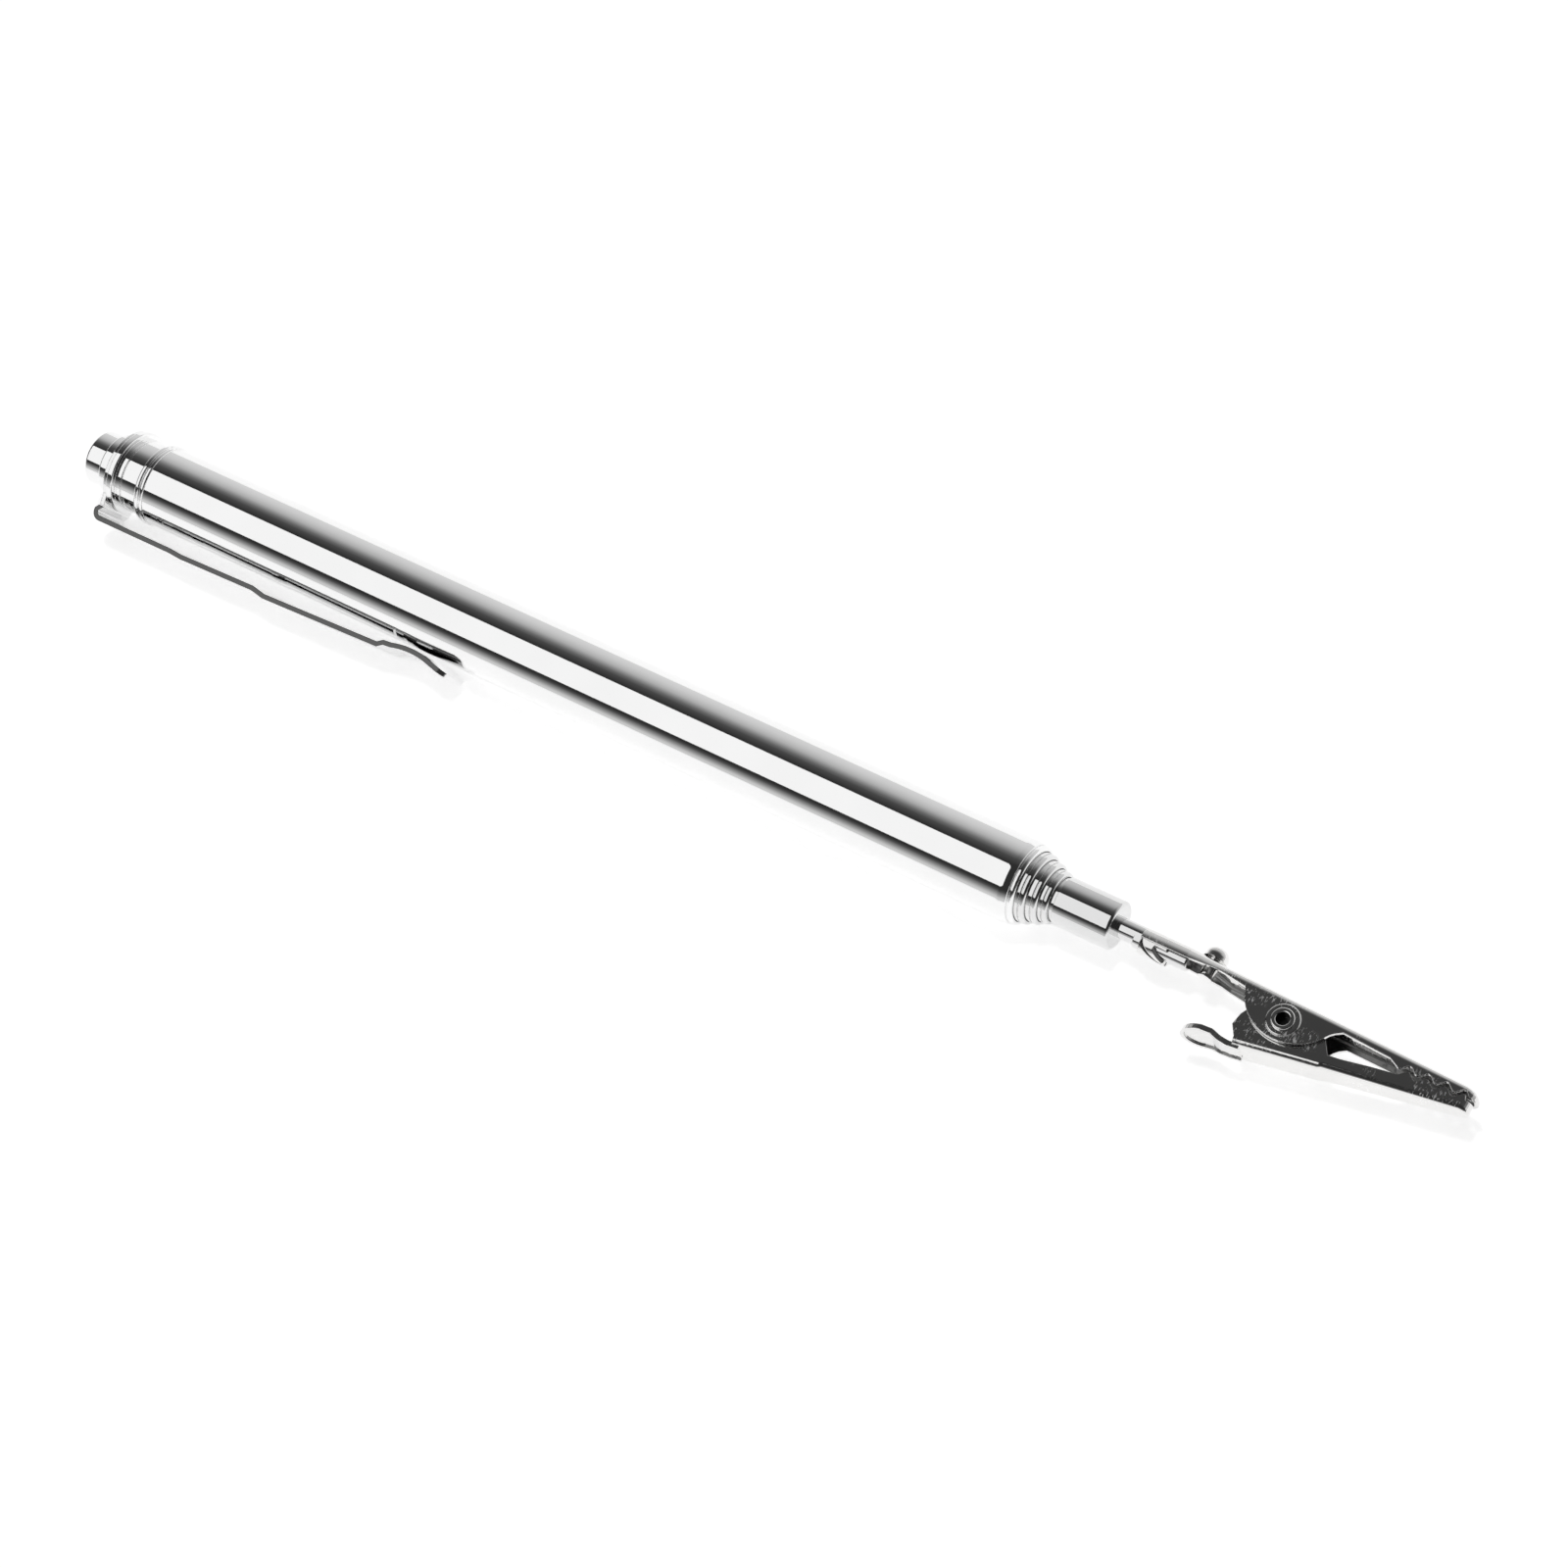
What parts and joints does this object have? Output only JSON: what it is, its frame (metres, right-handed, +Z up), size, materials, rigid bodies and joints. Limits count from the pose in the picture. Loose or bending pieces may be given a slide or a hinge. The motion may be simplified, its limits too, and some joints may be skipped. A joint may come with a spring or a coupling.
{
  "type": "telescopic pick-up tool",
  "caption": "Chrome pen-style telescopic tool with a pocket clip, nested sliding tubes and a sprung toothed alligator clip at its tip.",
  "frame": {"origin": "centre of the rear cap's end face, on the tube's axis", "axes": "+X along the tube towards the jaws, +Z up with the tool lying on a table, -Y the side that the lower jaw opens to"},
  "size_m": [0.1601, 0.0113, 0.0089],
  "materials": {
    "chrome_tube": "polished chrome plating",
    "chrome_stage": "polished chrome plating",
    "pocket_clip": "bright plated spring steel",
    "jaw_nickel": "nickel plating with fine scuffs",
    "rivet_nickel": "nickel plating",
    "screw_nickel": "nickel plating",
    "spring_steel": "drawn wire",
    "sleeve_brass": "plain brass strip"
  },
  "bodies": {
    "handle": {"rear_cap": "chrome_tube", "rear_spacer": "chrome_tube", "pocket_clip_collar": "pocket_clip", "rear_ferrule": "chrome_tube", "outer_tube": "chrome_tube"},
    "pocket_clip": {"pocket_clip_strap": "pocket_clip"},
    "stage_1": {"stage_tube_1": "chrome_stage", "friction_sleeve_1": "sleeve_brass"},
    "stage_2": {"stage_tube_2": "chrome_stage", "friction_sleeve_2": "sleeve_brass"},
    "stage_3": {"stage_tube_3": "chrome_stage", "friction_sleeve_3": "sleeve_brass"},
    "last_sleeve": {"friction_sleeve_4": "sleeve_brass"},
    "tip": {"stage_tube_4": "chrome_stage", "tip_barrel": "chrome_stage", "tip_stem": "chrome_stage", "upper_jaw": "jaw_nickel", "jaw_rivet": "rivet_nickel", "jaw_spring": "spring_steel", "terminal_screw": "screw_nickel"},
    "lower_jaw": {"lower_jaw": "jaw_nickel"}
  },
  "joints": [
    {"name": "pocket_clip_flex", "type": "hinge", "parent": "handle", "child": "pocket_clip", "pos_m": [0.00415, -0.00426, -0.00155], "axis": [0, 0.342, -0.9397], "range_deg": [0, 4], "stiffness_Nm_per_rad": 1.2},
    {"name": "stage_1_slide", "type": "slide", "parent": "handle", "child": "stage_1", "axis": [1, 0, 0], "range_m": [0, 0.093]},
    {"name": "stage_2_slide", "type": "slide", "parent": "stage_1", "child": "stage_2", "axis": [1, 0, 0], "range_m": [0, 0.093]},
    {"name": "stage_3_slide", "type": "slide", "parent": "stage_2", "child": "stage_3", "axis": [1, 0, 0], "range_m": [0, 0.093]},
    {"name": "stage_4_slide", "type": "slide", "parent": "stage_3", "child": "last_sleeve", "axis": [1, 0, 0], "range_m": [0, 0.093]},
    {"name": "tip_turn", "type": "hinge", "parent": "last_sleeve", "child": "tip", "pos_m": [0.0153, 0, 0], "axis": [1, 0, 0], "continuous": true},
    {"name": "jaw_open", "type": "hinge", "parent": "tip", "child": "lower_jaw", "pos_m": [0.14155, -0.00235, 0], "axis": [0, 0, -1], "range_deg": [0, 28], "stiffness_Nm_per_rad": 0.05, "springref_deg": -28.65, "deforming": ["jaw_spring"]}
  ]
}
